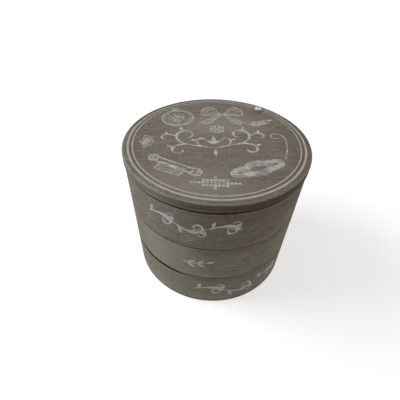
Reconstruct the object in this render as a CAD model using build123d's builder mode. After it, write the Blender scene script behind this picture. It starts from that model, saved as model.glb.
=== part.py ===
from build123d import *
import math
import os

os.makedirs("parts", exist_ok=True)

# Round wooden sewing box in millimetres, +Z up, with its origin at the centre of the underside.
# Three bent-ply trays and a lid swivel one above the other on an upright bolt near the rim.
# The front faces -Y. The base tray carries the bolt, and the three layers above turn about it.

# Trays: a bent wall with a floor disc let into its lower edge
wall_radius = 119.0
wall_thickness = 5.5
tray_height = 61.8
floor_thickness = 4.0
rebate_width = 2.5
rim_chamfer = 0.7
bore_chamfer = 0.4

# Lid: one thick disc that stands a little proud of the walls
lid_thickness = 12.4
lid_overhang = 1.0
lid_top_round = 2.2
lid_bottom_chamfer = 0.9

# Seams between the layers, each as wide as the spacer washer in it
lower_seam = 1.5
middle_seam = 0.8
upper_seam = 1.5

# Swivel bolt, how far inside the walls it stands, and its bearing from the middle of the box
bolt_inset = 7.5
bolt_azimuth = 56.0
bolt_radius = 3.0
bolt_head_radius = 5.6
bolt_head_height = 3.2
bolt_head_rim = 0.9
bolt_tip_above_floor = 1.0
bolt_tip_chamfer = 0.5
socket_across_flats = 4.0
socket_depth = 1.8

# Washers and the lock nut under the base
head_washer_radius = 7.0
head_washer_thickness = 1.2
spacer_radius = 9.0
nut_washer_radius = 6.2
nut_washer_thickness = 1.2
nut_across_flats = 10.0
nut_hex_height = 4.4
nut_collar_radius = 4.3
nut_collar_height = 1.6
nut_collar_round = 0.8
nut_recess_depth = 9.6
nut_recess_gap = 1.6

# Blocks that hold the bolt, coped to the walls
block_width = 28.0
block_reach = 13.0
block_corner_round = 5.0

# Dividers of the middle and the top tray
divider_thickness = 4.0
divider_drop = 6.0
divider_round = 1.0

# Fits
running_clearance = 0.1
glue_gap = 0.1
thread_clearance = 0.05
divider_clearance = 0.15
lap_clearance = 0.1

# Heights of the layers, and the places that follow from the sizes above
bore_radius = wall_radius - wall_thickness
bolt_distance = bore_radius - bolt_inset
lid_radius = wall_radius + lid_overhang
base_level = 0.0
middle_level = base_level + tray_height + lower_seam
top_level = middle_level + tray_height + middle_seam
lid_level = top_level + tray_height + upper_seam
lid_top = lid_level + lid_thickness
head_seat = lid_top + head_washer_thickness

bolt_x = bolt_distance * math.cos(math.radians(bolt_azimuth))
bolt_y = bolt_distance * math.sin(math.radians(bolt_azimuth))
bolt_hole_radius = bolt_radius + running_clearance
nut_recess_radius = nut_washer_radius + nut_recess_gap
divider_height = tray_height - floor_thickness - divider_drop
divider_half_length = math.sqrt(bore_radius**2 - (divider_thickness / 2) ** 2) - divider_clearance


def bolt_plane(height, down=False):
    """Level plane centred on the bolt, with +X pointing away from the middle of the box."""
    outward = (bolt_x, bolt_y, 0)
    return Plane(origin=(bolt_x, bolt_y, height), x_dir=outward, z_dir=(0, 0, -1 if down else 1))


def centre_plane(height):
    """Level plane through the middle of the box, with +X pointing at the bolt."""
    return Plane(origin=(0, 0, height), x_dir=(bolt_x, bolt_y, 0), z_dir=(0, 0, 1))


# The trays: wall, floor and bolt block of each, the base tray with room for the lock nut
for tray, level in (("base", base_level), ("middle", middle_level), ("top", top_level)):
    with BuildPart() as wall:
        with BuildSketch(Plane.XZ) as section:
            with Locations((bore_radius, level)):
                Rectangle(wall_thickness, tray_height, align=(Align.MIN, Align.MIN))
                Rectangle(rebate_width, floor_thickness, align=(Align.MIN, Align.MIN), mode=Mode.SUBTRACT)
            chamfer(section.vertices().group_by(Axis.X)[-1], rim_chamfer)
            chamfer(section.vertices().group_by(Axis.Y)[-1].sort_by(Axis.X)[0], bore_chamfer)
        revolve(axis=Axis.Z)
    wall.part.label = f"{tray}_wall"
    export_step(wall.part, f"parts/{tray}_wall.step")

    with BuildPart() as floor:
        with BuildSketch(Plane.XY.offset(level)):
            Circle(bore_radius + rebate_width - glue_gap)
        extrude(amount=floor_thickness)
        with Locations(bolt_plane(level + floor_thickness)):
            Hole(nut_recess_radius if tray == "base" else bolt_hole_radius)
    floor.part.label = f"{tray}_floor"
    export_step(floor.part, f"parts/{tray}_floor.step")

    with BuildPart() as block:
        with BuildSketch(centre_plane(level + floor_thickness)) as plan:
            Circle(bore_radius - glue_gap)
            with Locations((bolt_distance - block_reach, 0)):
                Rectangle(wall_radius, block_width, align=(Align.MIN, Align.CENTER), mode=Mode.INTERSECT)
            fillet(plan.vertices().group_by(Axis.X)[0], block_corner_round)
        extrude(amount=tray_height - floor_thickness)
        if tray == "base":
            with Locations(bolt_plane(level + floor_thickness, down=True)):
                CounterBoreHole(bolt_hole_radius, nut_recess_radius, nut_recess_depth - floor_thickness)
        else:
            with Locations(bolt_plane(level + tray_height)):
                Hole(bolt_hole_radius)
    block.part.label = f"{tray}_bolt_block"
    export_step(block.part, f"parts/{tray}_bolt_block.step")

# Middle tray: one divider from side to side
with BuildPart() as middle_divider:
    with BuildSketch(Plane.XY.offset(middle_level + floor_thickness)):
        Rectangle(2 * divider_half_length, divider_thickness)
    extrude(amount=divider_height)
    fillet(middle_divider.faces().sort_by(Axis.Z)[-1].edges().filter_by(Axis.X), divider_round)
middle_divider.part.label = "middle_divider"
export_step(middle_divider.part, "parts/middle_divider.step")

# Top tray: two dividers that cross in the middle with halved joints, one notched from above
# and the other from below
lap_length = divider_thickness + 2 * lap_clearance
top_divider_base = top_level + floor_thickness
lap_level = top_divider_base + divider_height / 2
for name, run, turn, lap_start, lap_height in (
    ("top_divider_across", Axis.X, 0, lap_level, divider_height / 2),
    ("top_divider_along", Axis.Y, 90, top_divider_base, divider_height / 2 + lap_clearance),
):
    with BuildPart() as divider:
        with BuildSketch(Plane.XY.offset(top_divider_base)):
            Rectangle(2 * divider_half_length, divider_thickness, rotation=turn)
        extrude(amount=divider_height)
        fillet(divider.faces().sort_by(Axis.Z)[-1].edges().filter_by(run), divider_round)
        with BuildSketch(Plane.XY.offset(lap_start)):
            Rectangle(lap_length, 2 * divider_thickness, rotation=turn)
        extrude(amount=lap_height, mode=Mode.SUBTRACT)
    divider.part.label = name
    export_step(divider.part, f"parts/{name}.step")

# Lid: a disc with soft edges and a hole for the bolt
with BuildPart() as lid_panel:
    with BuildSketch(Plane.XY.offset(lid_level)):
        Circle(lid_radius)
    extrude(amount=lid_thickness)
    fillet(lid_panel.faces().sort_by(Axis.Z)[-1].edges(), lid_top_round)
    chamfer(lid_panel.faces().sort_by(Axis.Z)[0].edges(), lid_bottom_chamfer)
    with Locations(bolt_plane(lid_top)):
        Hole(bolt_hole_radius)
lid_panel.part.label = "lid_panel"
export_step(lid_panel.part, "parts/lid_panel.step")

# Swivel bolt: a low domed head with a hexagon socket, and a plain shank down to the lock nut
with BuildPart() as swivel_bolt:
    with BuildSketch(bolt_plane(base_level + bolt_tip_above_floor)):
        Circle(bolt_radius)
    extrude(amount=head_seat - base_level - bolt_tip_above_floor)
    chamfer(swivel_bolt.faces().sort_by(Axis.Z)[0].edges(), bolt_tip_chamfer)
    dome_plane = Plane(origin=(bolt_x, bolt_y, head_seat), x_dir=(1, 0, 0), z_dir=(0, -1, 0))
    with BuildSketch(dome_plane):
        with BuildLine():
            Line((0, 0), (bolt_head_radius, 0))
            Line((bolt_head_radius, 0), (bolt_head_radius, bolt_head_rim))
            RadiusArc(
                (bolt_head_radius, bolt_head_rim),
                (0, bolt_head_height),
                -(bolt_head_radius**2 + (bolt_head_height - bolt_head_rim) ** 2)
                / (2 * (bolt_head_height - bolt_head_rim)),
            )
            Line((0, bolt_head_height), (0, 0))
        make_face()
    revolve(axis=Axis((bolt_x, bolt_y, 0), (0, 0, 1)))
    with BuildSketch(bolt_plane(head_seat + bolt_head_height)):
        RegularPolygon(socket_across_flats / 2, side_count=6, major_radius=False)
    extrude(amount=-socket_depth, mode=Mode.SUBTRACT)
swivel_bolt.part.label = "swivel_bolt"
export_step(swivel_bolt.part, "parts/swivel_bolt.step")

# Washers: under the bolt's head, in each seam, and above the lock nut
nut_seat = base_level + nut_recess_depth - nut_washer_thickness
for name, height, radius, thickness in (
    ("head_washer", lid_top, head_washer_radius, head_washer_thickness),
    ("upper_spacer", top_level + tray_height, spacer_radius, upper_seam),
    ("middle_spacer", middle_level + tray_height, spacer_radius, middle_seam),
    ("lower_spacer", base_level + tray_height, spacer_radius, lower_seam),
    ("nut_washer", nut_seat, nut_washer_radius, nut_washer_thickness),
):
    with BuildPart() as washer:
        with BuildSketch(bolt_plane(height)):
            Circle(radius)
            Circle(bolt_hole_radius, mode=Mode.SUBTRACT)
        extrude(amount=thickness)
    washer.part.label = name
    export_step(washer.part, f"parts/{name}.step")

# Lock nut: a hexagon up against its washer, with the round locking collar below
with BuildPart() as lock_nut:
    with BuildSketch(bolt_plane(nut_seat, down=True)):
        RegularPolygon(nut_across_flats / 2, side_count=6, major_radius=False)
    extrude(amount=nut_hex_height)
    with BuildSketch(bolt_plane(nut_seat - nut_hex_height, down=True)):
        Circle(nut_collar_radius)
    extrude(amount=nut_collar_height)
    fillet(lock_nut.faces().sort_by(Axis.Z)[0].edges(), nut_collar_round)
    with Locations(bolt_plane(nut_seat)):
        Hole(bolt_radius + thread_clearance)
lock_nut.part.label = "lock_nut"
export_step(lock_nut.part, "parts/lock_nut.step")
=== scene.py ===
import math

import bpy
from mathutils import Matrix, Vector


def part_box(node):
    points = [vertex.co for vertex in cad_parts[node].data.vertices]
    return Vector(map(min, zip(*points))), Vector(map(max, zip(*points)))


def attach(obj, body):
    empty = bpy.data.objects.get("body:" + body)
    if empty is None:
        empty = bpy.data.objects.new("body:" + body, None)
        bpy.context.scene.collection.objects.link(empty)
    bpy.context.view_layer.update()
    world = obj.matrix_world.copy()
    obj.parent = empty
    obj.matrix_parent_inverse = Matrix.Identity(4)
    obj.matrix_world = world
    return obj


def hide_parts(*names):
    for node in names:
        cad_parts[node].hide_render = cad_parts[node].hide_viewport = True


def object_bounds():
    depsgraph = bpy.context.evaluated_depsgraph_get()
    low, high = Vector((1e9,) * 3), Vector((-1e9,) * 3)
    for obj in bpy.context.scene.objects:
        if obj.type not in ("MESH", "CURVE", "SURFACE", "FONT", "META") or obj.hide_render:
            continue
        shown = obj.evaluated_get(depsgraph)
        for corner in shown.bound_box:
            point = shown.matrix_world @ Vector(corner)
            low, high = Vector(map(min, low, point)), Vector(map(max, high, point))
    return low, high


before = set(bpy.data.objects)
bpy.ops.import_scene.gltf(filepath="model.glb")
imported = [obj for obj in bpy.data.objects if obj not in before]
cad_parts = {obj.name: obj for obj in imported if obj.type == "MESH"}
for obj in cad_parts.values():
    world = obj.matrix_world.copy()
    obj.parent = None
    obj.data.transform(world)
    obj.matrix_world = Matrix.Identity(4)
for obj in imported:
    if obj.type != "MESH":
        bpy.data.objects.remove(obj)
cad_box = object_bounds()
scene = bpy.context.scene
mm = 0.001


# Camera: it stands in front of the box, a little over a third of a metre from its lid, and looks down.
# The box is seen steeply from above, with the bolt's head on the far edge of the lid.
camera_place = Vector((0.0, -0.31656, 0.39828))
looks_down = math.radians(44.075)
turned_left = math.radians(3.52)
rolled = math.radians(1.188)
sensor_width = 36.0
focal_share = 0.7055
nearest_seen = 0.01


def add_object(name, data):
    """A new object of the scene."""
    added = bpy.data.objects.new(name, data)
    scene.collection.objects.link(added)
    return added


camera = add_object("camera", bpy.data.cameras.new("camera"))
camera.data.sensor_width = sensor_width
camera.data.lens = focal_share * sensor_width
camera.data.clip_start = nearest_seen
camera.matrix_world = (
    Matrix.Translation(camera_place)
    @ Matrix.Rotation(turned_left, 4, "Z")
    @ Matrix.Rotation(math.pi / 2 - looks_down, 4, "X")
    @ Matrix.Rotation(rolled, 4, "Z")
)
scene.camera = camera
scene.view_settings.view_transform = "Standard"


# Studio: the box stands on a plain white table, with white all round and soft light from the upper left.
# White comes from the table and the surroundings themselves as the camera and glossy things see them.
# The table's own white grows with the distance from the box, as on a sheet that curves up behind it.
sky_strength = 0.28
table_albedo = 0.85
table_size = 6.0
glow_near = 0.52
glow_far = 1.0
fading_starts = 0.3
fading_ends = 1.5


class Term:
    """One socket of a node tree. Sums and products of terms add Math nodes to that tree."""

    def __init__(self, tree, socket=None):
        self.tree = tree
        self.socket = socket

    def node(self, kind, settings=None, sockets=None, out=0):
        """Adds any node, sets it up, fills or links its sockets and returns one of its outputs."""
        made = self.tree.nodes.new(kind)
        for key, value in (settings or {}).items():
            setattr(made, key, value)
        for key, value in (sockets or {}).items():
            socket = made.inputs[key]
            if isinstance(value, Term):
                self.tree.links.new(value.socket, socket)
            elif socket.type == "RGBA":
                socket.default_value = (*value, 1.0)
            else:
                socket.default_value = value
        return Term(self.tree, made.outputs[out] if made.outputs else None)

    def also(self, out):
        """Another output of the node that this term comes from."""
        return Term(self.tree, self.socket.node.outputs[out])

    def math(self, operation, *values):
        return self.node("ShaderNodeMath", {"operation": operation}, dict(enumerate(values)))

    def vector(self, operation, *values, out=0):
        return self.node("ShaderNodeVectorMath", {"operation": operation}, dict(enumerate(values)), out)

    def __add__(self, other):
        return self.math("ADD", self, other)

    __radd__ = __add__

    def __sub__(self, other):
        return self.math("SUBTRACT", self, other)

    def __rsub__(self, other):
        return self.math("SUBTRACT", other, self)

    def __mul__(self, other):
        return self.math("MULTIPLY", self, other)

    __rmul__ = __mul__

    def between(self, low, high, to_low=0.0, to_high=1.0):
        """Rises smoothly from to_low to to_high as the term goes from low to high."""
        values = {"Value": self, "From Min": low, "From Max": high, "To Min": to_low, "To Max": to_high}
        return self.node("ShaderNodeMapRange", {"interpolation_type": "SMOOTHSTEP"}, values)

    def blend(self, below, above):
        """Colour below where the term is 0 and colour above where it is 1."""
        return self.node("ShaderNodeMix", {"data_type": "RGBA"}, {0: self, 6: below, 7: above}, out=2)

    def stretched(self, across):
        """The term, a place, with each axis divided by a length in millimetres."""
        return self.vector("MULTIPLY", self, tuple(1.0 / length for length in across))

    def noise(self, lengths, detail=3.0, rough=0.55):
        """Even noise whose grains are about as long as the given millimetres on each axis."""
        values = {"Vector": self.stretched(lengths), "Scale": 1.0, "Detail": detail, "Roughness": rough}
        return self.node("ShaderNodeTexNoise", {}, values)

    def parts(self):
        """The three parts of a place."""
        x = self.node("ShaderNodeSeparateXYZ", {}, {0: self})
        return x, x.also(1), x.also(2)

    def place(self, x, y, z):
        return self.node("ShaderNodeCombineXYZ", {}, {0: x, 1: y, 2: z})

    def hypot(self, other):
        """The distance from an axis, from the two parts of a place that are square to it."""
        return self.math("SQRT", self * self + other * other)


def empty_tree(holder):
    """The node tree of a world or a material, emptied, as a term to build on."""
    holder.use_nodes = True
    holder.node_tree.nodes.clear()
    return Term(holder.node_tree)


def seen_share(term):
    """1 for the rays that show white: the camera's, and those that metal and glass send on."""
    ray = term.node("ShaderNodeLightPath", out="Is Camera Ray")
    mirrored = term.math("MAXIMUM", ray.also("Is Glossy Ray"), ray.also("Is Transmission Ray"))
    return term.math("MAXIMUM", ray, mirrored)


scene.world = bpy.data.worlds.new("surroundings")
around = empty_tree(scene.world)
sky = around.node("ShaderNodeBackground", {}, {"Color": (1.0, 0.99, 0.97), "Strength": sky_strength})
white = around.node("ShaderNodeBackground", {}, {"Color": (1.0, 1.0, 1.0), "Strength": 1.0})
seen_world = around.node("ShaderNodeMixShader", {}, {0: seen_share(around), 1: sky, 2: white})
around.node("ShaderNodeOutputWorld", {}, {"Surface": seen_world})

table_white = bpy.data.materials.new("table_white")
top_coat = empty_tree(table_white)
matt = top_coat.node("ShaderNodeBsdfDiffuse", {}, {"Color": (table_albedo,) * 3})
reach = top_coat.node("ShaderNodeTexCoord", out="Object")
reach = top_coat.vector("LENGTH", reach, out="Value")
lit = reach.between(fading_starts, fading_ends, glow_near, glow_far)
glow = top_coat.node("ShaderNodeEmission", {}, {"Color": (1.0, 1.0, 1.0), "Strength": lit})
pale = top_coat.node("ShaderNodeAddShader", {}, {0: matt, 1: glow})
seen_table = top_coat.node("ShaderNodeMixShader", {}, {0: seen_share(top_coat), 1: matt, 2: pale})
top_coat.node("ShaderNodeOutputMaterial", {}, {"Surface": seen_table})

half = table_size / 2
corners = [(-half, -half, 0), (half, -half, 0), (half, half, 0), (-half, half, 0)]
table_mesh = bpy.data.meshes.new("table")
table_mesh.from_pydata(corners, [], [(0, 1, 2, 3)])
table_mesh.materials.append(table_white)
table = add_object("table", table_mesh)


def soft_lamp(name, place, size, power):
    """A large square lamp that faces the middle of the box."""
    lamp = bpy.data.lights.new(name, "AREA")
    lamp.size = size
    lamp.energy = power
    holder = add_object(name, lamp)
    holder.location = place
    aim = Vector((0, 0, cad_box[1].z / 2)) - holder.location
    holder.rotation_euler = aim.to_track_quat("-Z", "Y").to_euler()


soft_lamp("window_lamp", (-1.6, 0.15, 1.3), size=1.2, power=27.0)
soft_lamp("side_lamp", (1.6, 0.3, 1.0), size=1.0, power=5.0)


# Tray walls: each is a bent-ply ring, brushed so that its grain stands out, stained grey-brown and
# limed, then waxed. The grain runs round the ring. The rings have warped a little since they were bent,
# so that the seams open on the side that is furthest from the bolt.
wall_thickness = 5.5
floor_rebate = 2.5
floor_thickness = (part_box("top_floor")[1].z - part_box("top_floor")[0].z) / mm
edge_round = 0.4
ring_segments = 320
crease_angle = math.radians(35)
rim_unevenness = 0.30
ripple_lengths = (50.0, 50.0, 20.0)
bolt_holds = 0.9
bolt_lets_go = 0.5
olive_stain = (0.204, 0.191, 0.143)
brown_stain = (0.229, 0.187, 0.128)
dark_grain = (0.078, 0.063, 0.048)
pale_lime = (0.360, 0.336, 0.284)
cool_lime_and_light = (0.345, 0.338, 0.306)
bare_rub_and_highlight = (0.330, 0.298, 0.240)
inner_stain = (0.205, 0.158, 0.112)
ply_light = (0.300, 0.235, 0.165)
ply_dark = (0.120, 0.085, 0.058)
rim_stain_and_shade = (0.170, 0.132, 0.092)
seam_shade = (0.028, 0.021, 0.015)
painted_shade_brown = (0.085, 0.062, 0.040)
ply_layer = 1.1
wax_gloss = 0.18

wall_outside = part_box("top_wall")[1].x / mm
wall_inside = wall_outside - wall_thickness
washer_low, washer_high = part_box("head_washer")
washer_radius = (washer_high.x - washer_low.x) / 2 / mm
bolt_x = (washer_low.x + washer_high.x) / 2 / mm
bolt_y = (washer_low.y + washer_high.y) / 2 / mm


def new_finish(name):
    """An empty material, and the place on the object in millimetres as its first term."""
    material = bpy.data.materials.new(name)
    start = empty_tree(material).node("ShaderNodeTexCoord", out="Object")
    place = start.node("ShaderNodeVectorMath", {"operation": "SCALE"}, {"Vector": start, "Scale": 1 / mm})
    return material, place


def close_finish(place, colour, roughness, height, depth, **constants):
    """Ends a material in a plain shader, with a relief as deep as the given millimetres."""
    relief = {"Strength": 1.0, "Distance": depth * mm, "Height": height}
    normal = place.node("ShaderNodeBump", {}, relief)
    sockets = {"Base Color": colour, "Roughness": roughness, "Normal": normal, **constants}
    shader = place.node("ShaderNodeBsdfPrincipled", {}, {"Specular IOR Level": wax_gloss, **sockets})
    place.node("ShaderNodeOutputMaterial", {}, {"Surface": shader})


def dress(node, material):
    """Gives a CAD node's surface its finish."""
    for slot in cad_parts[node].material_slots:
        slot.material = material


def wall_stain(place, shift, depth, left_light, rim_shade, rim):
    """Colour and relief of a wall's face. Shift moves the grain, depth is how dark the stain took, the
    next value how much painted light from the left pales the left side, and the one after how far down
    from the rim painted shade darkens the right side."""
    x, y, z = place.parts()
    drift = place.place(x, y, z + shift).noise((75, 75, 60), detail=2)
    grain = place.place(x, y, z + shift + 7 * drift)
    bands = grain.noise((90, 90, 7), detail=3)
    streaks = grain.noise((34, 34, 0.9), detail=4, rough=0.62)
    fibres = grain.noise((10, 10, 0.35), detail=2)
    pores = grain.noise((5, 5, 0.22), detail=1)
    patches = place.place(x, y, z + 2 * shift).noise((55, 55, 30), detail=2)
    clouds = place.place(x, y, z + 3 * shift).noise((26, 26, 12), detail=4, rough=0.62)
    flecks = grain.noise((7, 7, 2.0), detail=2)

    # The stain itself, olive and brown in patches, darker in bands and streaks along the grain
    stain = (patches + 0.0012 * x).between(0.36, 0.64).blend(olive_stain, brown_stain)
    stain = (depth + 0.16 * bands.between(0.46, 0.66)).blend(stain, dark_grain)
    stain = (0.30 * streaks.between(0.52, 0.70)).blend(stain, dark_grain)
    stain = (0.22 * streaks.between(0.47, 0.36)).blend(stain, pale_lime)

    # Lime, in clouds; then painted light in the same clouds, over the left side, which the lamp lights,
    # and low down on the base tray, which the white table lights from below
    limed = clouds.between(0.46, 0.66) * fibres.between(0.34, 0.60)
    stain = (0.40 * limed).blend(stain, pale_lime)
    lit_left = x.between(12, -46) * x.between(-104, -60) * clouds.between(0.20, 0.44)
    stain = (left_light * lit_left).blend(stain, cool_lime_and_light)
    stain = (0.45 * z.between(36, 4) * clouds.between(0.28, 0.50)).blend(stain, cool_lime_and_light)

    # Short flecks in the grain; then painted shade below each rim on the right side, deepest under the
    # lid, and darker at the far left
    stain = (0.28 * flecks.between(0.50, 0.62)).blend(stain, dark_grain)
    stain = (0.18 * flecks.between(0.48, 0.36)).blend(stain, pale_lime)
    below_rim = z.between(rim - rim_shade, rim - rim_shade / 3)
    shaded_below_rim = x.between(-36, 0) * below_rim * clouds.between(0.30, 0.55, 0.7, 1.0)
    stain = (0.34 * shaded_below_rim + 0.18 * x.between(-66, -112)).blend(stain, painted_shade_brown)
    return stain, 0.5 * streaks + 0.35 * fibres + 0.25 * pores.between(0.40, 0.60)


def wall_wood(tray, shift, *settings):
    """Stained and limed ply of one tray's wall, plainer inside, with painted shade on its rim and its
    foot.
    """
    low, high = (corner.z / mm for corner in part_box(f"{tray}_wall"))
    material, place = new_finish(f"{tray}_wall_wood")
    stain, height = wall_stain(place, shift, *settings)
    x, y, z = place.parts()
    radius = x.hypot(y)

    # Rubbed pale just below the rim, and painted shade along the foot, for the seam below, heaviest on
    # the left, and darker towards the base tray's bottom
    worn = place.noise((9, 9, 2), detail=4)
    near_top = z.between(high - 3.4, high - 1.8) * z.between(high - 0.5, high - 0.9)
    near_top = near_top * radius.between(wall_outside - 1.2, wall_outside - 0.6)
    stain = (0.4 * near_top * worn.between(0.42, 0.60)).blend(stain, bare_rub_and_highlight)
    near_foot = z.between(low + 1.0, low + 0.3) * x.between(40, -30, 0.35, 1.0)
    near_foot = near_foot + 0.25 * z.between(low + 5.0, low + 1.5) + 0.60 * z.between(5.5, 1.5)
    stain = (0.7 * near_foot * worn.between(0.70, 0.40)).blend(stain, seam_shade)

    # The bore, stained once and not limed
    inner = radius.between(wall_inside + 0.5, wall_inside + 0.2)
    figure = place.place(x, y, z + 5 * shift).noise((60, 60, 6), detail=3)
    inner_dark = 0.45 * figure.between(0.42, 0.62) + 0.40 * height.between(0.42, 0.70)
    stain = inner.blend(stain, inner_dark.blend(inner_stain, ply_dark))

    # The rim, where the layers of the ply show edge on, darkened with painted shade, darkest at its outer
    # edge, which shows only through the seams
    upwards = place.node("ShaderNodeNewGeometry", out="Normal").parts()[2]
    rim = upwards.between(0.25, 0.60)
    layers = place.math("PINGPONG", radius - wall_inside + 0.25 * (worn - 0.5), ply_layer)
    layers = layers.between(0.35, 0.75)
    rim_tone = (0.6 * layers).blend(rim_stain_and_shade, seam_shade)
    rim_tone = radius.between(wall_outside - 3.6, wall_outside - 2.2).blend(rim_tone, seam_shade)
    stain = rim.blend(stain, rim_tone)

    close_finish(place, stain, height.between(0.35, 0.75, 0.62, 0.82), height, depth=0.22)
    return material


def new_tree(name, inputs, result):
    """An empty tree of geometry nodes with named inputs and one result, and its first input as a term."""
    tree = bpy.data.node_groups.new(name, "GeometryNodeTree")
    for label, kind in inputs.items():
        tree.interface.new_socket(label, in_out="INPUT", socket_type=f"NodeSocket{kind}")
    tree.interface.new_socket(result, in_out="OUTPUT", socket_type="NodeSocketGeometry")
    return tree, Term(tree).node("NodeGroupInput")


def end_tree(shape, material, result):
    """Ends a tree in plain geometry that has its material."""
    real = shape.node("GeometryNodeRealizeInstances", {}, {"Geometry": shape})
    dressed = shape.node("GeometryNodeSetMaterial", {}, {"Geometry": real, "Material": material})
    shape.node("NodeGroupOutput", {}, {result: dressed})


def ring_tree():
    """Geometry nodes that bend a section into a ring and warp its foot and rim, each at its bearing."""
    inputs = {"Section": "Geometry"}
    inputs |= dict.fromkeys(("Bore Radius", "Foot", "Rim", "Unevenness", "Seed"), "Float")
    for edge in ("Foot", "Rim"):
        inputs |= dict.fromkeys((f"{edge} Opening", f"{edge} Closing", f"{edge} Spread"), "Float")
        inputs[f"{edge} Bearing"] = "Vector"
    inputs |= {"Bolt Bearing": "Vector", "Wood": "Material"}
    tree, section = new_tree("bent_ring", inputs, "Ring")
    circle = {"Resolution": ring_segments, "Radius": section.also("Bore Radius")}
    path = section.node("GeometryNodeCurvePrimitiveCircle", {"mode": "RADIUS"}, circle)
    upright = section.node("GeometryNodeSetCurveNormal", {"mode": "Z_UP"}, {"Curve": path})
    bent = section.node("GeometryNodeCurveToMesh", {}, {"Curve": upright, "Profile Curve": section})

    place = section.node("GeometryNodeInputPosition")
    x, y, z = place.parts()
    level = z + section.also("Foot")
    outwards = section.vector("NORMALIZE", section.place(x, y, 0.0))
    middle = (section.also("Foot") + section.also("Rim")) * 0.5

    # The bolt keeps the seams from closing near it. Its two values are cosines of the angle to it.
    off_bolt = section.vector("DOT_PRODUCT", outwards, section.also("Bolt Bearing"), out="Value")
    off_bolt = off_bolt.between(bolt_holds, bolt_lets_go)
    warp = 0.0
    for edge, inwards in (("Foot", 1), ("Rim", -1)):
        faced = section.vector("DOT_PRODUCT", outwards, section.also(f"{edge} Bearing"), out="Value")
        opening = faced.between(section.also(f"{edge} Spread"), 1.0) * section.also(f"{edge} Opening")
        ripple = section.place(x, y, section.also("Seed") + section.also(edge))
        ripple = ripple.noise([length * mm for length in ripple_lengths], detail=2)
        bulge = opening - off_bolt * section.also(f"{edge} Closing")
        bulge = bulge + (ripple - 0.5) * section.also("Unevenness")
        warp = bulge * level.between(middle, section.also(edge)) * inwards + warp
    laid = {"Geometry": bent, "Position": section.place(x, y, level + warp)}
    end_tree(section.node("GeometryNodeSetPosition", {}, laid), section.also("Wood"), "Ring")
    return tree


def grown(name, outline, tree, values):
    """Runs a tree on a curve, with its named inputs set, and returns the outcome as a plain piece."""
    pattern = add_object(f"{name}_outline", outline)
    growth = pattern.modifiers.new("growth", "NODES")
    growth.node_group = tree
    for socket in tree.interface.items_tree:
        if socket.name in values:
            growth[socket.identifier] = values[socket.name]
    bpy.context.view_layer.update()
    seen = pattern.evaluated_get(bpy.context.evaluated_depsgraph_get())
    piece = add_object(name, bpy.data.meshes.new_from_object(seen))
    bpy.data.objects.remove(pattern)
    return piece


def wall_section(height):
    """Section of a wall, outwards from its bore and up from its foot, in order from the rim outwards."""
    rows = 9
    turn = [math.radians(90 * i / 4) for i in range(5)]
    soft = edge_round
    outer = wall_thickness - soft
    bore_height = height - soft - floor_thickness
    points = [(soft - soft * math.cos(a), height - soft + soft * math.sin(a)) for a in turn]
    points += [(outer + soft * math.sin(a), height - soft + soft * math.cos(a)) for a in turn]
    points += [(wall_thickness, soft + (height - 2 * soft) * (1 - i / rows)) for i in range(1, rows)]
    points += [(outer + soft * math.cos(a), soft - soft * math.sin(a)) for a in turn]
    points += [(floor_rebate, 0.0), (floor_rebate, floor_thickness), (0.0, floor_thickness)]
    points += [(0.0, floor_thickness + bore_height * i / rows) for i in range(1, rows)]
    return points


def bearing(degrees):
    return math.cos(math.radians(degrees)), math.sin(math.radians(degrees)), 0.0


# Each tray has its stain's shift, depth, painted light on its left and reach of painted shade below its
# rim,
# and then how its foot and its rim warp: how far they open and close, the angle over which they open, and
# its bearing
bent_ring = ring_tree()
stain_settings = {}
for tray, body, stain_set, foot_warp, rim_warp in (
    ("base", "base", (11.0, -0.11, 0.24, 13.0), (0.0, 0.0, 30, 0), (2.5, 0.6, 33, -130)),
    ("middle", "middle_tray", (230.0, -0.11, 0.64, 13.0), (2.2, 0.7, 33, -130), (0.4, 0.38, 24, -107)),
    ("top", "top_tray", (415.0, 0.25, 0.28, 34.0), (0.0, 0.2, 30, 0), (1.0, 0.6, 70, -108)),
):
    low, high = (corner.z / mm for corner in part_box(f"{tray}_wall"))
    outline = bpy.data.curves.new(f"{tray}_section", "CURVE")
    outline.dimensions = "3D"
    spline = outline.splines.new("POLY")
    section = wall_section(high - low)
    spline.points.add(len(section) - 1)
    for point, (out, up) in zip(spline.points, section):
        point.co = (out * mm, -up * mm, 0.0, 1.0)
    spline.use_cyclic_u = True
    stain_settings[tray] = (*stain_set, high)
    values = {
        "Bore Radius": wall_inside * mm,
        "Foot": low * mm,
        "Rim": high * mm,
        "Unevenness": rim_unevenness * mm if tray != "base" else 0.0,
        "Seed": stain_set[0],
        "Bolt Bearing": bearing(math.degrees(math.atan2(bolt_y, bolt_x))),
        "Wood": wall_wood(tray, *stain_settings[tray]),
    }
    for edge, (opening, closing, spread, azimuth) in (("Foot", foot_warp), ("Rim", rim_warp)):
        values[f"{edge} Opening"] = opening * mm
        values[f"{edge} Closing"] = closing * mm
        values[f"{edge} Spread"] = math.cos(math.radians(spread))
        values[f"{edge} Bearing"] = bearing(azimuth)
    wall = grown(f"{tray}_ring", outline, bent_ring, values)
    wall.data.shade_smooth()
    wall.data.set_sharp_from_angle(angle=crease_angle)
    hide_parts(f"{tray}_wall")
    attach(wall, body)


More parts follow.
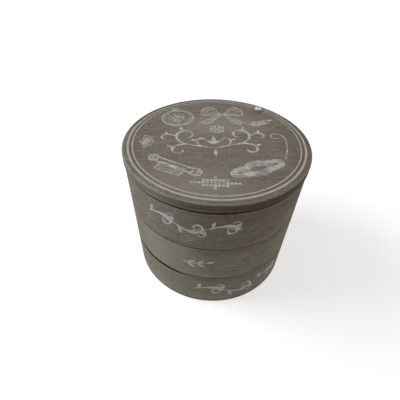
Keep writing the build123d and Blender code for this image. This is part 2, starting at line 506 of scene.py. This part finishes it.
# Floors: discs of thin ply let into the foot of each wall, stained with the rest of the box.
# Their grain runs from side to side.
def floor_ply(tray, shift):
    """Thinly stained ply of one floor."""
    material, place = new_finish(f"{tray}_floor_ply")
    x, y, z = place.parts()
    drift = place.place(x, y, shift).noise((90, 40, 60), detail=2)
    grain = place.place(x, y + shift + 14 * drift, z)
    figure = grain.noise((120, 7, 20), detail=3)
    streaks = grain.noise((60, 1.4, 8), detail=4, rough=0.6)
    fibres = grain.noise((9, 0.4, 4), detail=2)
    stain = figure.between(0.38, 0.62).blend(inner_stain, ply_light)
    stain = (0.6 * streaks.between(0.48, 0.70)).blend(stain, ply_dark)
    stain = (0.35 * fibres.between(0.50, 0.64)).blend(stain, brown_stain)
    roughness = streaks.between(0.3, 0.7, 0.58, 0.75)
    close_finish(place, stain, roughness, 0.5 * streaks + 0.4 * fibres, depth=0.2)
    return material


for tray, shift in (("base", 40.0), ("middle", 310.0), ("top", 520.0)):
    dress(f"{tray}_floor", floor_ply(tray, shift))


# Bolt blocks: softwood blocks with upright grain, coped and glued to the wall, bored for the bolt.
# The end grain with its rings shows on top.
block_early = (0.300, 0.225, 0.150)
block_late = (0.150, 0.100, 0.062)
ring_width = 2.6


def block_wood(tray, pith):
    """Softwood whose growth rings lie round a pith line outside the block."""
    material, place = new_finish(f"{tray}_block_wood")
    x, y, z = place.parts()
    wander = place.noise((14, 14, 60), detail=2)
    rings = (x - pith[0]).hypot(y - pith[1]) + 5 * wander
    late = place.math("PINGPONG", rings, ring_width).between(0.35 * ring_width, 0.9 * ring_width)
    fibres = place.noise((0.5, 0.5, 14), detail=3)
    tone = (0.75 * late).blend(block_early, block_late)
    tone = (0.45 * fibres.between(0.45, 0.65)).blend(tone, brown_stain)
    tone = (0.4 * place.noise((18, 18, 25)).between(0.40, 0.62)).blend(tone, olive_stain)
    roughness = fibres.between(0.3, 0.7, 0.55, 0.75)
    close_finish(place, tone, roughness, 0.6 * fibres + 0.3 * late, depth=0.25)
    return material


for tray, pith in (("base", (20.0, 60.0)), ("middle", (95.0, 70.0)), ("top", (10.0, 95.0))):
    dress(f"{tray}_bolt_block", block_wood(tray, pith))


# Dividers: thin boards in the middle and the top tray, the top tray's pair halved into a cross.
# Their grain runs along them, and their rounded upper edges are rubbed pale.
def divider_wood(node, across, shift):
    """Stained board with its grain along its run, which is X where across is true."""
    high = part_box(node)[1].z / mm
    material, place = new_finish(f"{node}_wood")
    x, y, z = place.parts()
    along, side = (x, y) if across else (y, x)
    drift = place.place(along, side, z + shift).noise((80, 80, 40), detail=2)
    grain = place.place(along, side, z + shift + 10 * drift)
    figure = grain.noise((110, 20, 9), detail=3)
    streaks = grain.noise((55, 6, 1.4), detail=4, rough=0.6)
    fibres = grain.noise((9, 2, 0.4), detail=2)
    stain = figure.between(0.38, 0.62).blend(inner_stain, ply_light)
    stain = (0.6 * streaks.between(0.50, 0.70)).blend(stain, ply_dark)
    stain = (0.4 * fibres.between(0.50, 0.62)).blend(stain, olive_stain)
    rubbed = z.between(high - 1.4, high - 0.2) * place.noise((7, 7, 7), detail=3).between(0.42, 0.60)
    stain = (0.8 * rubbed).blend(stain, bare_rub_and_highlight)
    roughness = streaks.between(0.3, 0.7, 0.52, 0.72)
    close_finish(place, stain, roughness, 0.5 * streaks + 0.4 * fibres, depth=0.2)
    return material


for node, across, shift in (
    ("middle_divider", True, 60.0),
    ("top_divider_across", True, 140.0),
    ("top_divider_along", False, 330.0),
):
    dress(node, divider_wood(node, across, shift))


# Lid: one thick round board, brushed, stained, limed and waxed like the walls, with its grain from side
# to side. Its side is darker where the end grain drank the stain, with painted light at its left and
# painted shade at its right. Its upper edge is worn pale at the front, with a painted highlight there
# too, and has painted shade at the right and the back left.
lid_low, lid_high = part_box("lid_panel")
lid_radius = lid_high.x / mm
lid_top = lid_high.z / mm
lid_underside = lid_low.z / mm
lid_grain_turn = math.radians(8.0)
outer_ring = 112.2
inner_ring = 106.7
lid_brown = (0.181, 0.142, 0.112)
lid_olive = (0.162, 0.142, 0.106)
lid_red = (0.196, 0.133, 0.106)
side_stain = (0.150, 0.116, 0.074)
side_dark = (0.050, 0.036, 0.021)


def with_lid_grain(place):
    """The place turned so that its X runs along the lid's grain."""
    return place.node("ShaderNodeMapping", {}, {"Vector": place, "Rotation": (0.0, 0.0, -lid_grain_turn)})


def lid_stain(place):
    """Colour and relief of the brushed and limed board, whose grain lies a little off the X axis."""
    turned = with_lid_grain(place)
    x, y, z = turned.parts()
    drift = turned.noise((110, 32, 60), detail=2)
    grain = place.place(x, y + 18 * drift, z)
    bands = grain.noise((150, 6, 14), detail=3)
    streaks = grain.noise((80, 1.3, 5), detail=4, rough=0.6)
    fibres = grain.noise((12, 0.45, 2), detail=2)
    pores = grain.noise((6, 0.25, 1), detail=1)
    patches = turned.noise((70, 38, 60), detail=2)
    reds = grain.noise((90, 14, 30), detail=2)
    clouds = turned.noise((17, 9, 20), detail=4, rough=0.65)
    flecks = grain.noise((6, 1.8, 4), detail=2)

    # The stain itself, olive, brown and reddish in patches, darker in bands and streaks
    stain = patches.between(0.38, 0.62).blend(lid_olive, lid_brown)
    stain = (0.7 * reds.between(0.50, 0.64)).blend(stain, lid_red)
    stain = (0.26 * bands.between(0.50, 0.68)).blend(stain, dark_grain)
    stain = (0.34 * streaks.between(0.50, 0.70)).blend(stain, dark_grain)

    # Lime in the fibres, and clouds and short flecks of dark stain and of lime
    limed = fibres.between(0.46, 0.62) * bands.between(0.62, 0.40)
    stain = (0.19 * limed).blend(stain, pale_lime)
    stain = (0.20 * streaks.between(0.46, 0.34)).blend(stain, pale_lime)
    stain = (0.30 * clouds.between(0.46, 0.30)).blend(stain, dark_grain)
    stain = (0.22 * clouds.between(0.54, 0.70)).blend(stain, pale_lime)
    stain = (0.30 * flecks.between(0.50, 0.62)).blend(stain, dark_grain)
    stain = (0.20 * flecks.between(0.48, 0.36)).blend(stain, pale_lime)

    # Lime left heavier at the front and the back, and dirt on the flanks and between the ring lines
    radius = x.hypot(y)
    within_rings = radius.between(outer_ring + 1.5, outer_ring, 0.4, 1.0)
    front = y.between(-46, -92) * x.between(60, -25, 0.15, 1.0) * within_rings
    back = y.between(2, 26) * y.between(76, 46) * x.between(-84, -12) * x.between(92, 30)
    middle = y.between(-84, -60) * y.between(26, 2)
    heavy = front + back + 0.28 * middle
    stain = (0.46 * heavy * patches.between(0.15, 0.42)).blend(stain, pale_lime)
    flanks = (1.5 * x.between(-70, -100) + 2.0 * x.between(66, 98)) * y.between(40, 0)
    between_rings = radius.between(inner_ring + 0.7, inner_ring + 1.7)
    between_rings = between_rings * radius.between(outer_ring - 1.1, outer_ring - 2.1)
    stain = (0.16 * flanks + 0.24 * between_rings).blend(stain, dark_grain)
    return stain, 0.5 * streaks + 0.35 * fibres + 0.25 * pores.between(0.40, 0.60)


def lid_wood():
    """The board's face, with the border outside the printed ring lines, and its dark side."""
    material, place = new_finish("lid_wood")
    stain, height = lid_stain(place)
    x, y, z = place.parts()
    radius = x.hypot(y)
    worn = place.noise((26, 26, 8), detail=4)

    # The border, rubbed pale in places and at its front edge, where the pale is also a painted highlight,
    # and painted shade near the edge at the right and the back left
    border = radius.between(outer_ring + 0.5, outer_ring + 3.5) * height.between(0.64, 0.40)
    border = border * (x.between(-20, -70) + y.between(-10, 60)) * worn.between(0.30, 0.62)
    edge = radius.between(lid_radius - 2.3, lid_radius - 1.1) * worn.between(0.30, 0.50)
    stain = (0.5 * border + 0.70 * edge * y.between(30, -20)).blend(stain, bare_rub_and_highlight)
    rim_shade = x.between(60, 100) * y.between(-20, 10) * y.between(80, 55)
    rim_shade = rim_shade + x.between(20, -30) * y.between(0, 40)
    stain = (0.5 * rim_shade * radius.between(lid_radius - 7, lid_radius - 4.5)).blend(stain, side_dark)

    # The side, dark along its grain, with painted light at the left, painted shade darkest at the right,
    # rubbed places low at the front left, and a painted highlight at the right, strongest at its upper
    # edge
    side_grain = place.noise((60, 60, 2.0), detail=4, rough=0.6)
    side_tone = side_grain.between(0.40, 0.58, 0.0, 0.8).blend(side_stain, side_dark)
    side_tone = (0.40 * x.between(-14, -64) * worn.between(0.25, 0.50)).blend(side_tone, cool_lime_and_light)
    side_tone = (0.76 * x.between(-16, 70)).blend(side_tone, side_dark)
    side_streaks = place.noise((44, 44, 1.5), detail=3)
    side_tone = (0.50 * side_streaks.between(0.50, 0.64)).blend(side_tone, side_stain)
    rubbed_low = z.between(lid_top - 6.5, lid_top - 8.5) * x.between(22, -12) * x.between(-95, -60)
    right_edge_highlight = (0.05 + 0.08 * z.between(lid_top - 3.5, lid_top - 1.5)) * x.between(36, 58)
    side_tone = (0.17 * rubbed_low + right_edge_highlight).blend(side_tone, cool_lime_and_light)
    level = z + 1.6 * (worn - 0.5)
    on_side = level.between(lid_top - 0.5, lid_top - 2.2)
    on_side = on_side * radius.between(lid_radius - 2, lid_radius - 0.8)
    stain = on_side.blend(stain, side_tone)
    # Painted shade in the seam under the lid, heaviest from the middle to the right
    under = z.between(lid_underside + 1.4, lid_underside + 0.5) * x.between(-50, 10, 0.3, 1.0)
    stain = under.blend(stain, seam_shade)
    roughness = height.between(0.35, 0.75, 0.44, 0.62) + 0.30 * on_side
    close_finish(place, stain, roughness, height, depth=0.22)
    return material


dress("lid_panel", lid_wood())


# Print: a thin film of chalky grey ink, stamped on the lid and the walls and rubbed through in places.
# The lid has two ring lines round a field of sewing ornament, and each tray has a vine or a twig. The
# scrolls are drawn as with a broad pen held at a slant, thick one way and thin the other.
film = 0.05
film_step = 0.003
film_layers = 11
ring_clearance = 0.6
outer_line = 2.6
inner_line = 1.6
chalk_light = (0.540, 0.512, 0.476)
chalk_grey = (0.470, 0.438, 0.402)
chalk_cool = (0.470, 0.474, 0.460)
chalk_white = (0.640, 0.622, 0.588)
chalk_bright = (0.710, 0.692, 0.656)
ring_rub = (16.0, 0.9, 3.0)
lid_rub = (12.0, 2.2, 3.0)
wall_rub = (14.0, 14.0, 0.9)
lightly_worn = 0.54
well_worn = 0.44
pen_slant = math.radians(38.0)
pen_thin = 0.42
hatch_spacing = 2.3
hatch_width = 0.8
bolt_reach = math.hypot(bolt_x, bolt_y)


def chalk_print(name, tones, rub_lengths, rubbed_from, ground, *settings):
    """Chalky ink over a ground, which shows where the ink is rubbed off the grain. The ink is thinner
    towards the back of the box."""
    material, place = new_finish(name)
    stain, height = ground(place, *settings)
    rub = with_lid_grain(place).noise(rub_lengths, detail=4, rough=0.6)
    blots = place.noise((7, 7, 7), detail=3)
    tone = blots.between(0.35, 0.65).blend(*tones)
    cover = rub.between(rubbed_from + 0.22, rubbed_from, 0.25, 1.0)
    cover = cover * blots.between(0.25, 0.42, 0.75, 1.0)
    cover = cover * place.parts()[1].between(26, 46, 1.0, 0.74)
    close_finish(place, cover.blend(stain, tone), 0.66 + 0.18 * cover, height + 0.3 * blots, depth=0.12)
    return material


ring_chalk = chalk_print("ring_chalk", (chalk_grey, chalk_light), ring_rub, lightly_worn, lid_stain)
lid_chalk = chalk_print("lid_chalk", (chalk_cool, chalk_bright), lid_rub, well_worn, lid_stain)


def print_tree(name, wrapped):
    """Geometry nodes that sweep a film of ink along flat lines and lay it on the lid or round a wall."""
    inputs = {"Lines": "Geometry", "Film": "Float", "Level": "Float", "Wall Radius": "Float"}
    tree, lines = new_tree(name, {**inputs, "Ink": "Material"}, "Print")
    kept = tree.nodes.new("GeometryNodeCaptureAttribute")
    kept.capture_items.new("FLOAT", "Lift")
    tree.links.new(lines.socket, kept.inputs["Geometry"])
    tree.links.new(lines.node("GeometryNodeInputPosition").parts()[2].socket, kept.inputs["Lift"])
    lift = Term(tree, kept.outputs["Lift"])
    captured = {"Curve": Term(tree, kept.outputs["Geometry"])}
    level_lines = lines.node("GeometryNodeSetCurveNormal", {"mode": "Z_UP"}, captured)
    pen = lines.node("GeometryNodeCurvePrimitiveQuadrilateral", {}, {"Width": 2.0, "Height": 0.5})
    width = lines.node("GeometryNodeInputRadius")
    path = {"Curve": level_lines, "Profile Curve": pen, "Scale": width, "Fill Caps": True}
    swept = lines.node("GeometryNodeCurveToMesh", {}, path)
    u, v, side = lines.node("GeometryNodeInputPosition").parts()
    proud = lines.math("SIGN", side - lift) * lines.also("Film") + lift
    if wrapped:
        radius = lines.also("Wall Radius")
        angle = lines.math("DIVIDE", u, radius)
        reach = radius + proud
        laid = lines.place(lines.math("COSINE", angle) * reach, lines.math("SINE", angle) * reach, v)
    else:
        laid = lines.place(u, v, lines.also("Level") + proud)
    moved = lines.node("GeometryNodeSetPosition", {}, {"Geometry": swept, "Position": laid})
    flat = lines.node("GeometryNodeSetShadeSmooth", {}, {"Geometry": moved, "Shade Smooth": False})
    end_tree(flat, lines.also("Ink"), "Print")
    return tree


def make_print(name, body, strokes, tree, ink):
    """Turns strokes in millimetres into a printed piece that rides on a body."""
    outline = bpy.data.curves.new(name, "CURVE")
    outline.dimensions = "3D"

    # Each stroke lies a hair over the one before and rises along itself, so crossing ink shares no face
    for i, (points, halves, closed) in enumerate(strokes):
        spline = outline.splines.new("POLY")
        spline.points.add(len(points) - 1)
        lift = film_step * (i % film_layers)
        for point, (u, v), half_width in zip(spline.points, points, halves):
            point.co = (u * mm, v * mm, lift * mm, 1.0)
            point.radius = half_width * mm
            lift += film_step / len(points)
        spline.use_cyclic_u = closed
    values = {"Film": film * mm, "Level": lid_top * mm, "Wall Radius": wall_outside * mm, "Ink": ink}
    piece = grown(name, outline, tree, values)
    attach(piece, body)


def line(points, width, closed=False):
    """A stroke of even width through points, with half its width at each."""
    return points, [width / 2] * len(points), closed


def pen_line(points, width, closed=False):
    """A stroke through points as the slanted pen makes it, thin at both ends if it has any."""
    halves = []
    last = len(points) - 1
    for i in range(len(points)):
        before = points[i - 1 if i or closed else 0]
        after = points[(i + 1) % len(points) if closed else min(i + 1, last)]
        heading = math.atan2(after[1] - before[1], after[0] - before[0])
        share = pen_thin + (1 - pen_thin) * abs(math.sin(heading - pen_slant))
        taper = 1.0 if closed else min(1.0, 0.25 + 6.0 * min(i, last - i) / last)
        halves.append(width / 2 * share * taper)
    return points, halves, closed


def scroll(start, heading, bend, end_bend, length, width, stroke=pen_line):
    """A stroke that curls. It turns by bend degrees a millimetre at first and by end_bend at last."""
    steps = max(10, round(length / 1.6))
    x, y = start
    angle = math.radians(heading)
    points = [(x, y)]
    for i in range(steps):
        turn = bend + (end_bend - bend) * (i + 0.5) / steps
        angle += math.radians(turn) * length / steps
        x += math.cos(angle) * length / steps
        y += math.sin(angle) * length / steps
        points.append((x, y))
    return stroke(points, width)


def sprout(stroke, share, turn=0.0):
    """The place at a share of a stroke's length, and the heading there turned by degrees."""
    points = stroke[0]
    i = min(max(1, round(share * (len(points) - 1))), len(points) - 1)
    (x0, y0), (x1, y1) = points[i - 1], points[i]
    return (x1, y1), math.degrees(math.atan2(y1 - y0, x1 - x0)) + turn


def leaf(start, heading, length, width, bend):
    points = scroll(start, heading, bend, bend, length, width)[0]
    last = len(points) - 1
    halves = [width / 2 * math.sin(math.pi * (0.04 + 0.92 * i / last)) ** 0.9 for i in range(last + 1)]
    return points, halves, False


def ring_line(radius, width):
    """A ring line round the lid, open where the washer under the bolt's head lies."""
    clear = washer_radius + ring_clearance + width / 2
    half_open = math.acos((radius**2 + bolt_reach**2 - clear**2) / (2 * radius * bolt_reach))
    first = math.atan2(bolt_y, bolt_x) + half_open
    count = 360
    turns = [first + (2 * math.pi - 2 * half_open) * i / count for i in range(count + 1)]
    points = [(radius * math.cos(a), radius * math.sin(a)) for a in turns]
    return line(points, width)


def ring(centre, radius, width):
    count = max(16, round(radius * 3))
    turns = [2 * math.pi * i / count for i in range(count)]
    points = [(centre[0] + radius * math.cos(a), centre[1] + radius * math.sin(a)) for a in turns]
    return line(points, width, closed=True)


def turned_to(strokes, at, turn=0.0, size=1.0, mirror=False):
    """Strokes mirrored left to right where asked, turned, enlarged and moved to a place."""
    along = size * math.cos(math.radians(turn))
    across = size * math.sin(math.radians(turn))
    flip = -1 if mirror else 1
    moved = []
    for points, halves, closed in strokes:
        flipped = [(flip * x, y) for x, y in points]
        places = [(at[0] + x * along - y * across, at[1] + x * across + y * along) for x, y in flipped]
        moved.append((places, [half_width * size for half_width in halves], closed))
    return moved


def drop(start, heading, length, breadth, width, stroke=pen_line):
    """The outline of a petal or a bow's loop, pointed at its start and round at its end."""
    count = 36
    points = []
    for i in range(count):
        a = 2 * math.pi * i / count
        out = length * (1 - math.cos(a)) / 2
        side = breadth * math.sin(a) * (1 - math.cos(a)) / 2
        points.append((out, side))
    return turned_to([stroke(points, width, closed=True)], start, heading)[0]


def hatched(outlines, heading):
    """Thin parallel lines that shade the room between closed outlines, as an engraver does."""
    cosine = math.cos(math.radians(heading))
    sine = math.sin(math.radians(heading))
    edges = []
    for outline in outlines:
        corners = [(x * cosine + y * sine, y * cosine - x * sine) for x, y in outline]
        edges += zip(corners, corners[1:] + corners[:1])
    level = min(edge[0][1] for edge in edges) + hatch_spacing / 2
    highest = max(edge[0][1] for edge in edges)
    strokes = []
    while level < highest:
        crossed = [(s, e) for s, e in edges if (s[1] < level) != (e[1] < level)]
        stops = sorted(s[0] + (level - s[1]) * (e[0] - s[0]) / (e[1] - s[1]) for s, e in crossed)
        for first, last in zip(stops[::2], stops[1::2]):
            if last - first > 3 * hatch_width:
                inset = (first + hatch_width, last - hatch_width)
                ends = [(u * cosine - level * sine, u * sine + level * cosine) for u in inset]
                strokes.append(line(ends, hatch_width))
        level += hatch_spacing
    return strokes


# The motifs of the ornament, in millimetres, as they are before they are turned to their places
def blossom(centre, petals, length, width):
    breadth = 3.1 * length / petals
    headings = [90 + 360 * i / petals for i in range(petals)]
    strokes = [drop(centre, heading, length, breadth, width, line) for heading in headings]
    return strokes + [ring(centre, 0.16 * length, 1.3 * width)]


def wing():
    """One side of the flourish: a long stem that curls in, with three curls that branch off it."""
    stem = scroll((0, -9), 30, -1.7, 7.6, 112, 4.1)
    low = scroll(*sprout(stem, 0.32, -12), -0.8, -10.5, 52, 3.5)
    high = scroll(*sprout(stem, 0.16, 34), 0.2, 14.0, 34, 3.2)
    curl = scroll(*sprout(stem, 0.54, -30), -0.4, -13.0, 36, 3.2)
    strokes = [stem, low, high, curl]
    strokes.append(leaf(*sprout(stem, 0.70, -58), 12, 4.6, -2.5))
    strokes.append(leaf(*sprout(low, 0.42, 52), 10, 4.0, 3))
    strokes.append(leaf(*sprout(high, 0.44, -55), 9, 3.6, -3))
    strokes.append(leaf(*sprout(curl, 0.40, 50), 9, 3.6, 3))
    return strokes


def flourish():
    strokes = wing() + turned_to(wing(), (0, 0), mirror=True)
    strokes += [leaf((0, 1), 90, 20, 5.6, 0), leaf((0, -12), -90, 14, 4.6, 0)]
    strokes += [leaf((0, 1), 124, 13, 4.2, 2), leaf((0, 1), 56, 13, 4.2, -2)]
    return strokes


def sprig(stem, pairs, turn, length, width, bend, tip):
    """A stem with a leaf at its tip and pairs of leaves, each at a share of the stem and of a size."""
    strokes = [stem]
    for share, size in pairs:
        strokes.append(leaf(*sprout(stem, share, turn), length * size, width * size, -bend))
        strokes.append(leaf(*sprout(stem, share, -turn), length * size, width * size, bend))
    strokes.append(leaf(*sprout(stem, 1.0), *tip, 0))
    return strokes


def bow():
    strokes = []
    for mirror in (False, True):
        loop = drop((1, 1), 24, 30, 21, 3.2)
        inside = drop((3, 2), 24, 20, 9, 1.8)
        tail = scroll((2, -2), -48, -1.4, 2.4, 36, 3.0)
        tail_side = scroll((3, 0), -30, -1.8, 2.4, 38, 2.2)
        crease = scroll((5, 3), 28, -1.2, -1.2, 13, 2.0)
        notch = line([tail[0][-1], (24.5, -23.5), tail_side[0][-1]], 1.8)
        half_bow = [loop, inside, tail, tail_side, crease, notch]
        half_bow += hatched([loop[0], inside[0]], 114)
        half_bow += hatched([tail[0] + tail_side[0][::-1]], 30)
        strokes += turned_to(half_bow, (0, 0), mirror=mirror)
    strokes.append(ring((0, 0), 3.6, 2.0))
    strokes.append(leaf((-2.4, 0), 0, 4.8, 2.6, 0))
    return strokes


def hoop():
    strokes = [ring((0, 0), 24, 2.8), ring((0, 0), 20.2, 1.5)]
    strokes.append(line([(-3.6, 25.6), (-3.6, 31), (3.6, 31), (3.6, 25.6)], 1.9, closed=True))
    strokes.append(line([(-7.5, 28.4), (7.5, 28.4)], 2.4))
    strokes += blossom((0, 4), 5, 10.5, 2.0)
    turns = [math.radians(110 + 8 * i) for i in range(21)]
    shade = [(18.6 * math.cos(a), 18.6 * math.sin(a)) for a in turns]
    for i, (x, y) in reversed(list(enumerate(shade))):
        share = 1 - 0.5 * math.sin(math.pi * i / 20)
        shade.append((x * share, y * share))
    strokes += hatched([shade], 20)
    strokes.append(scroll((0.5, -6), -84, -1.5, -1.5, 12, 2.0))
    strokes += [leaf((0, -10), 22, 12, 4.6, 3), leaf((0, -12), 163, 11, 4.4, -3)]
    return strokes


def safety_pin():
    clasp = [(22, -6), (30, -5.6), (34.5, -2.6), (34.5, 2.6), (30, 5.6), (22, 6), (24.5, 0)]
    return [
        line([(-27, -4.4), (23, -4.4)], 2.4),
        scroll((-27, 4.0), -4, 0.16, 0.16, 51, 2.1, line),
        ring((-29, -0.2), 5.6, 2.4),
        ring((-29, -0.2), 2.0, 1.8),
        line(clasp, 2.4, closed=True),
        line([(27.5, -3), (31.6, -2.6)], 1.8),
        line([(28.2, 0), (32.6, 0)], 1.8),
        line([(27.5, 3), (31.6, 2.6)], 1.8),
    ]


def skein():
    """Turns of thread one inside the other, drawn in where two bands hold them."""
    count = 64
    strokes = []
    for share, width in ((1.0, 1.6), (0.84, 0.7), (0.68, 1.4), (0.52, 0.7), (0.36, 1.4)):
        half_length = 34 * (0.74 + 0.26 * share)
        half_height = 13 * share
        points = []
        for i in range(count):
            a = 2 * math.pi * i / count
            waist = 1.0 - 0.36 * math.exp(-((abs(math.cos(a)) - 0.5) / 0.2) ** 2)
            points.append((half_length * math.cos(a), half_height * waist * math.sin(a)))
        strokes.append(line(points, width, closed=True))
    for x in (-15.5, 15.5):
        band = [(x - 4.4, -9.4), (x + 4.4, -9.4), (x + 4.4, 9.4), (x - 4.4, 9.4)]
        strokes.append(line(band, 1.8, closed=True))
        strokes += [line([(x + step, -8.6), (x + step, 8.6)], 1.3) for step in (-1.5, 1.5)]
    return strokes


def cloth_swatch(width, height):
    """A hatched piece of cloth with pinked edges."""
    outline = []
    right, top = width / 2, height / 2
    corners = [(-right, -top), (right, -top), (right, top), (-right, top)]
    for (x0, y0), (x1, y1) in zip(corners, corners[1:] + corners[:1]):
        teeth = round(math.hypot(x1 - x0, y1 - y0) / 3.2)
        for i in range(2 * teeth):
            share = i / (2 * teeth)
            shrink = 1 - 0.12 * (i % 2)
            outline.append((shrink * (x0 + share * (x1 - x0)), shrink * (y0 + share * (y1 - y0))))
    return [line(outline, 1.2, closed=True)] + hatched([outline], 38)


def lace_fan(radius):
    turns = [math.radians(20 * i - 80) for i in range(9)]
    rims = [(radius * math.cos(a), radius * math.sin(a)) for a in turns]
    strokes = [line([(0.2 * x, 0.2 * y), (x, y)], 0.9) for x, y in rims]
    for share in (0.45, 0.72):
        strokes.append(line([(share * x, share * y) for x, y in rims], 1.0))
    for (x0, y0), (x1, y1) in zip(rims, rims[1:]):
        start = math.degrees(math.atan2(y1 - y0, x1 - x0)) - 90
        length = math.pi / 2 * math.hypot(x1 - x0, y1 - y0)
        strokes.append(scroll((x0, y0), start, 180 / length, 180 / length, length, 1.2, line))
    return strokes + [ring((0, 0), 2.4, 1.4)]


def loose_thread():
    thread = scroll((0, 0), 70, 0.5, 0.5, 42, 1.3, line)
    return [thread, scroll(*sprout(thread, 1.0), 1.0, 13.0, 46, 1.3, line)]


def cross_band(columns, rows, pitch):
    strokes = []
    arm = 0.34 * pitch
    for column in range(-columns, columns + 1):
        for row in range(-rows, rows + 1):
            if abs(column) / columns + abs(row) / rows <= 1.01:
                x, y = column * pitch, row * pitch
                strokes.append(line([(x - arm, y - arm), (x + arm, y + arm)], 1.4))
                strokes.append(line([(x - arm, y + arm), (x + arm, y - arm)], 1.4))
    return strokes


def vine(width):
    """Three waves of a stem, each with a curl, two leaves and a thin tendril."""
    strokes = []
    wave_length = 36.0
    for i, up in enumerate((1, -1, 1)):
        stem = scroll((i * wave_length, 0), up * 40, -up * 2.05, -up * 2.05, 39, width)
        curl = scroll(*sprout(stem, 0.36, up * 14), -up * 1.0, -up * 15.0, 40, width)
        strokes += [stem, curl]
        strokes.append(leaf(*sprout(stem, 0.18, up * 66), 10, 3.8, -up * 3))
        strokes.append(leaf(*sprout(stem, 0.74, up * 60), 9, 3.6, -up * 3))
        strokes.append(scroll(*sprout(stem, 0.50, -up * 50), up * 2.0, up * 15.0, 34, 1.1, line))
    return strokes


flat_print = print_tree("flat_print", wrapped=False)
wall_print = print_tree("wall_print", wrapped=True)
rings = [ring_line(outer_ring, outer_line), ring_line(inner_ring, inner_line)]
make_print("lid_rings", "lid", rings, flat_print, ring_chalk)
lid_stem = scroll((0, 0), -14, 0.6, 0.6, 31, 2.2)
lid_pairs = [((i + 0.7) / 3.4, 1.0 - 0.35 * i / 3) for i in range(3)]
lid_design = (
    turned_to(flourish(), (-2, -12), 7, 0.96)
    + turned_to(hoop(), (-57, 52), 14, 0.92)
    + turned_to(bow(), (6, 68), 4)
    + turned_to(sprig(lid_stem, lid_pairs, 46, 13, 5.2, 3, (12, 4.8)), (40, 41), 28)
    + turned_to(safety_pin() + turned_to(cloth_swatch(34, 15), (-1, -9), 3), (-46, -58), -24)
    + turned_to(skein(), (50, -56), 26)
    + turned_to(cross_band(6, 2, 4.4), (2, -86), 2)
    + turned_to(blossom((0, 0), 6, 9.5, 1.5), (0, 26))
    + turned_to(lace_fan(13), (-94, -14), 8)
    + turned_to(loose_thread(), (83, -36))
)
make_print("lid_ornament", "lid", lid_design, flat_print, lid_chalk)

twig_stem = scroll((0, 0), -16, 1.2, 1.2, 31, 2.8)
twig = sprig(twig_stem, ((0.20, 1.0), (0.64, 0.85)), 56, 13, 3.8, 4, (10.5, 3.8))

# Where each tray's ornament starts, as a bearing and a height over the foot, and its size
for tray, body, azimuth, height, size, band in (
    ("top", "top_tray", -128, 36, 1.05, vine(3.1)),
    ("middle", "middle_tray", -106, 32, 1.0, twig),
    ("base", "base", -99, 31, 1.24, vine(2.7)),
):
    start = (math.radians(azimuth) * wall_outside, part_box(f"{tray}_wall")[0].z / mm + height)
    ground = (wall_stain, *stain_settings[tray])
    ink = chalk_print(f"{tray}_chalk", (chalk_light, chalk_white), wall_rub, lightly_worn, *ground)
    make_print(f"{tray}_wall_ornament", body, turned_to(band, start, size=size), wall_print, ink)


# Swivel bolt, its washers and the lock nut: bright zinc-plated steel, turned round the bolt's line.
# The bolt holds lid and trays together at the back, and its head stands on a washer on the lid.
head_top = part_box("swivel_bolt")[1].z / mm
zinc_bright = (0.72, 0.72, 0.70)
zinc_dull_and_shaded = (0.50, 0.50, 0.49)
zinc_shaded = (0.215, 0.220, 0.198)
thread_pitch = 1.0
thread_top = 14.0


def bright_steel(name, plate, spotted):
    """Zinc plate over turned steel, dull in spots, with painted shade on the head's flank below its dome.
    """
    material, place = new_finish(name)
    x, y, z = place.parts()
    from_x = x - bolt_x
    from_y = y - bolt_y
    radius = from_x.hypot(from_y)
    turning = place.place(radius, 0.0, z).noise((0.12, 1, 0.12), detail=2)
    spots = place.noise((2.2, 2.2, 2.2), detail=3)
    tone = spots.between(0.42, 0.66).blend(plate, spotted)
    # Painted shade on the head's flank, below the top of its dome
    below_dome = z.between(head_top - 0.5, head_top - 1.5) * radius.between(2.4, 2.7)
    below_dome = below_dome * z.between(head_top - 6.0, head_top - 5.0)
    tone = (0.9 * below_dome).blend(tone, zinc_shaded)
    roughness = spots.between(0.35, 0.65, 0.24, 0.42) + 0.26 * below_dome
    turn = place.math("ARCTAN2", from_y, from_x) * (thread_pitch / (2 * math.pi))
    crests = place.math("PINGPONG", z + turn, thread_pitch / 2) * (1.0 / thread_pitch)
    threaded = z.between(thread_top + 1, thread_top) * radius.between(3.2, 3.1) * radius.between(2.7, 2.8)
    close_finish(place, tone, roughness, 0.06 * turning + threaded * crests, depth=0.5, Metallic=1.0)
    return material


steel = bright_steel("bright_steel", zinc_bright, zinc_dull_and_shaded)
for node in ("swivel_bolt", "nut_washer", "lock_nut"):
    dress(node, steel)
# The head's washer is a darker, shaded copy of the same steel: painted shade
dress("head_washer", bright_steel("shaded_zinc_steel", zinc_dull_and_shaded, zinc_shaded))


# Spacers: milky nylon washers in the seams, which keep the trays apart and let them swivel.
# Each is cut from sheet, and its faces are a little uneven.
nylon = (0.70, 0.68, 0.62)
nylon_soiled = (0.46, 0.43, 0.36)


def spacer_nylon():
    """Nylon that wood dust has darkened a little."""
    material, place = new_finish("spacer_nylon")
    dust = place.noise((3, 3, 1.5), detail=4)
    tone = (0.7 * dust.between(0.45, 0.68)).blend(nylon, nylon_soiled)
    close_finish(place, tone, dust.between(0.3, 0.7, 0.38, 0.55), dust, depth=0.04)
    return material


milky = spacer_nylon()
for node in ("upper_spacer", "middle_spacer", "lower_spacer"):
    dress(node, milky)
